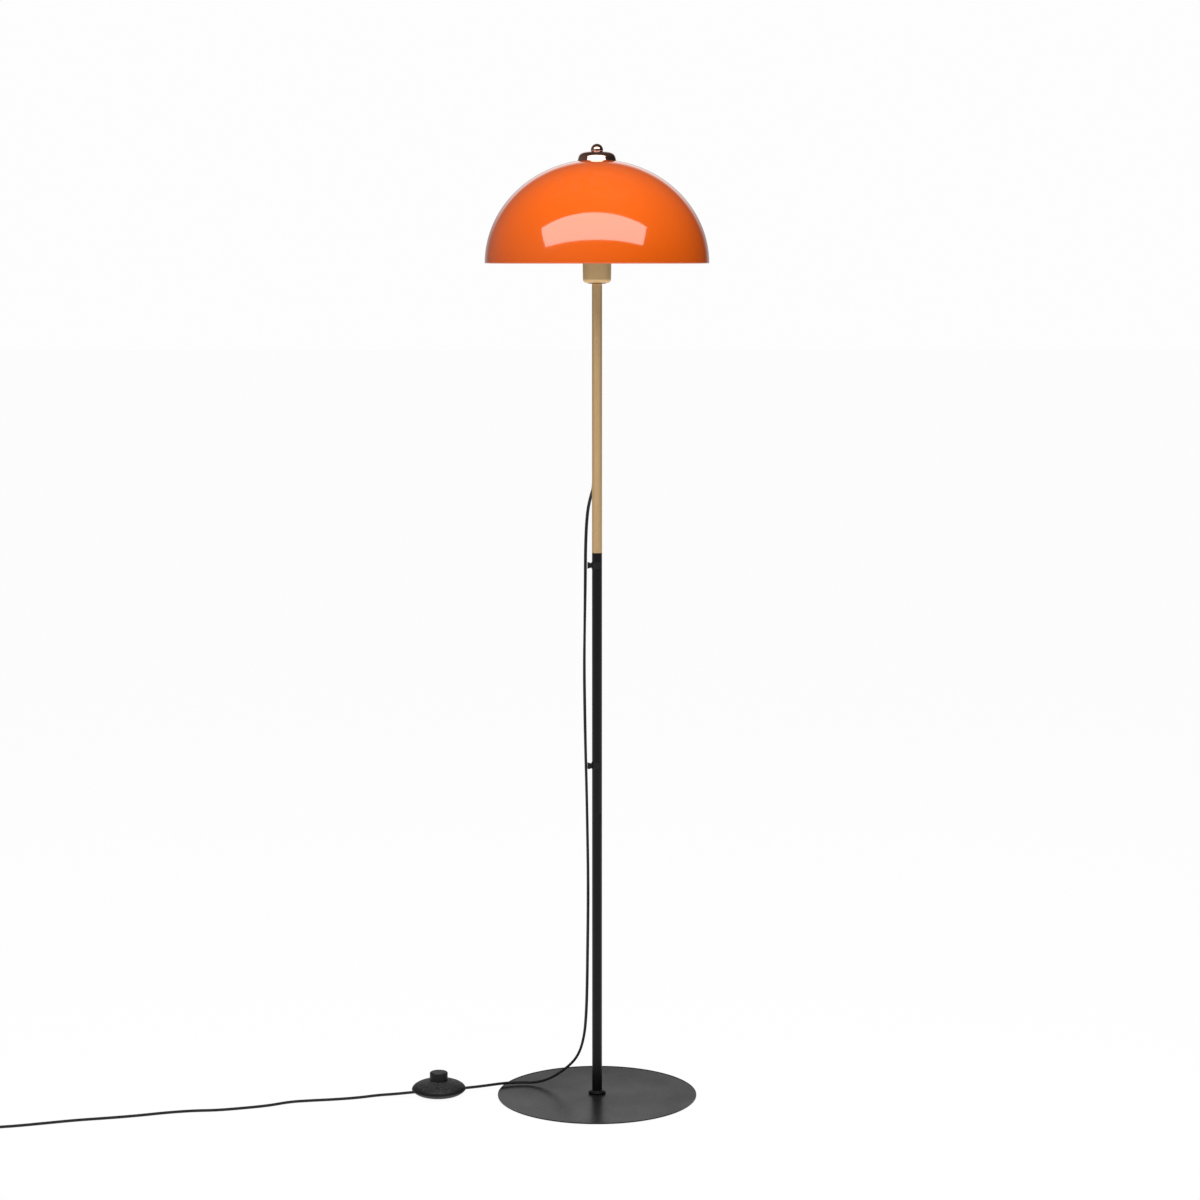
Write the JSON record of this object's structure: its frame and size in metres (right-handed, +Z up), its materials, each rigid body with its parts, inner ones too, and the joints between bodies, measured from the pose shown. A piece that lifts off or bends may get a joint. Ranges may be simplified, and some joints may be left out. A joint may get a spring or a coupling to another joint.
{
  "type": "mushroom floor lamp",
  "caption": "Floor lamp with a round flat foot, three-part tube pole, domed metal shade on a wire harp, brass lampholder cup, and a flex with foot switch and plug.",
  "frame": {"origin": "on the floor, in the middle of the round foot, on the axis of the pole", "axes": "+Z up along the pole; the pictured side faces -Y; the flex and its foot switch lie towards -X"},
  "size_m": [1.2145, 0.3729, 1.5178],
  "materials": {
    "orange_enamel": "high gloss orange enamel outside, white inside",
    "satin_brass": "satin plated, lengthwise brushed",
    "black_lacquer": "semi-gloss black lacquer",
    "rose_chrome": "polished rose copper plating",
    "zinc_steel": "zinc plated steel",
    "contact_brass": "bare brass",
    "holder_plastic": "black heat-resistant moulded plastic",
    "contact_ceramic": "pale steatite",
    "opal_glass": "white diffusing glass",
    "lamp_cap_metal": "rolled thin sheet",
    "foot_rubber": "soft matt pad",
    "black_plastic": "satin black moulded plastic",
    "spring_steel": "bright drawn wire",
    "flex_jacket": "soft black flexible jacket",
    "pin_nickel": "nickel plated"
  },
  "bodies": {
    "root": {"base_disc": "black_lacquer", "base_pads": "foot_rubber", "foot_screw": "zinc_steel", "foot_collar": "black_lacquer", "foot_insert": "zinc_steel", "lower_tube": "black_lacquer", "lower_tube_insert": "zinc_steel", "lower_nipple": "zinc_steel", "middle_tube": "black_lacquer", "middle_tube_bottom_insert": "zinc_steel", "middle_tube_top_insert": "zinc_steel", "upper_nipple": "zinc_steel", "upper_tube": "satin_brass", "upper_tube_bottom_insert": "zinc_steel", "upper_tube_top_insert": "zinc_steel", "holder_nipple": "zinc_steel", "exit_grommet": "black_plastic", "lampholder_cup": "satin_brass", "lampholder_base": "holder_plastic", "contact_plate": "contact_ceramic", "lampholder_skirt": "holder_plastic", "centre_contact": "contact_brass", "side_contact": "contact_brass", "shade_ring": "holder_plastic", "bulb_contact": "contact_brass", "bulb_cap": "lamp_cap_metal", "bulb_glass": "opal_glass", "harp_ring": "satin_brass", "harp_wire_left": "satin_brass", "harp_wire_right": "satin_brass", "harp_plate": "satin_brass", "harp_stud": "zinc_steel", "shade_washer": "zinc_steel", "switch_feet": "foot_rubber", "switch_base": "black_plastic", "switch_cover": "black_plastic", "switch_spring": "spring_steel", "switch_mechanism": "holder_plastic", "switch_terminals": "contact_brass", "switch_clamps": "holder_plastic", "clamp_screws": "zinc_steel", "switch_screws": "zinc_steel", "inner_flex": "flex_jacket", "cord_upper": "flex_jacket", "cord_lower": "flex_jacket", "cord_coil": "flex_jacket", "cord_tie": "black_plastic", "plug_body": "black_plastic", "plug_pins": "pin_nickel"},
    "shade": {"shade": "orange_enamel", "shade_cap": "rose_chrome", "finial": "rose_chrome"},
    "foot_button": {"switch_button": "black_plastic"},
    "upper_clip": {"cable_clip_upper": "black_plastic"},
    "lower_clip": {"cable_clip_lower": "black_plastic"}
  },
  "joints": [
    {"name": "shade_swivel", "type": "hinge", "parent": "root", "child": "shade", "pos_m": [0, 0, 1.333], "axis": [0, 0, 1], "continuous": true},
    {"name": "switch_press", "type": "slide", "parent": "root", "child": "foot_button", "axis": [0, 0, -1], "range_m": [0, 0.0035], "stiffness_N_per_m": 1500, "springref_m": -0.002, "deforming": ["switch_spring"]},
    {"name": "upper_clip_turn", "type": "hinge", "parent": "root", "child": "upper_clip", "pos_m": [0, 0, 0.86], "axis": [0, 0, 1], "continuous": true},
    {"name": "lower_clip_turn", "type": "hinge", "parent": "root", "child": "lower_clip", "pos_m": [0, 0, 0.54], "axis": [0, 0, 1], "continuous": true}
  ]
}
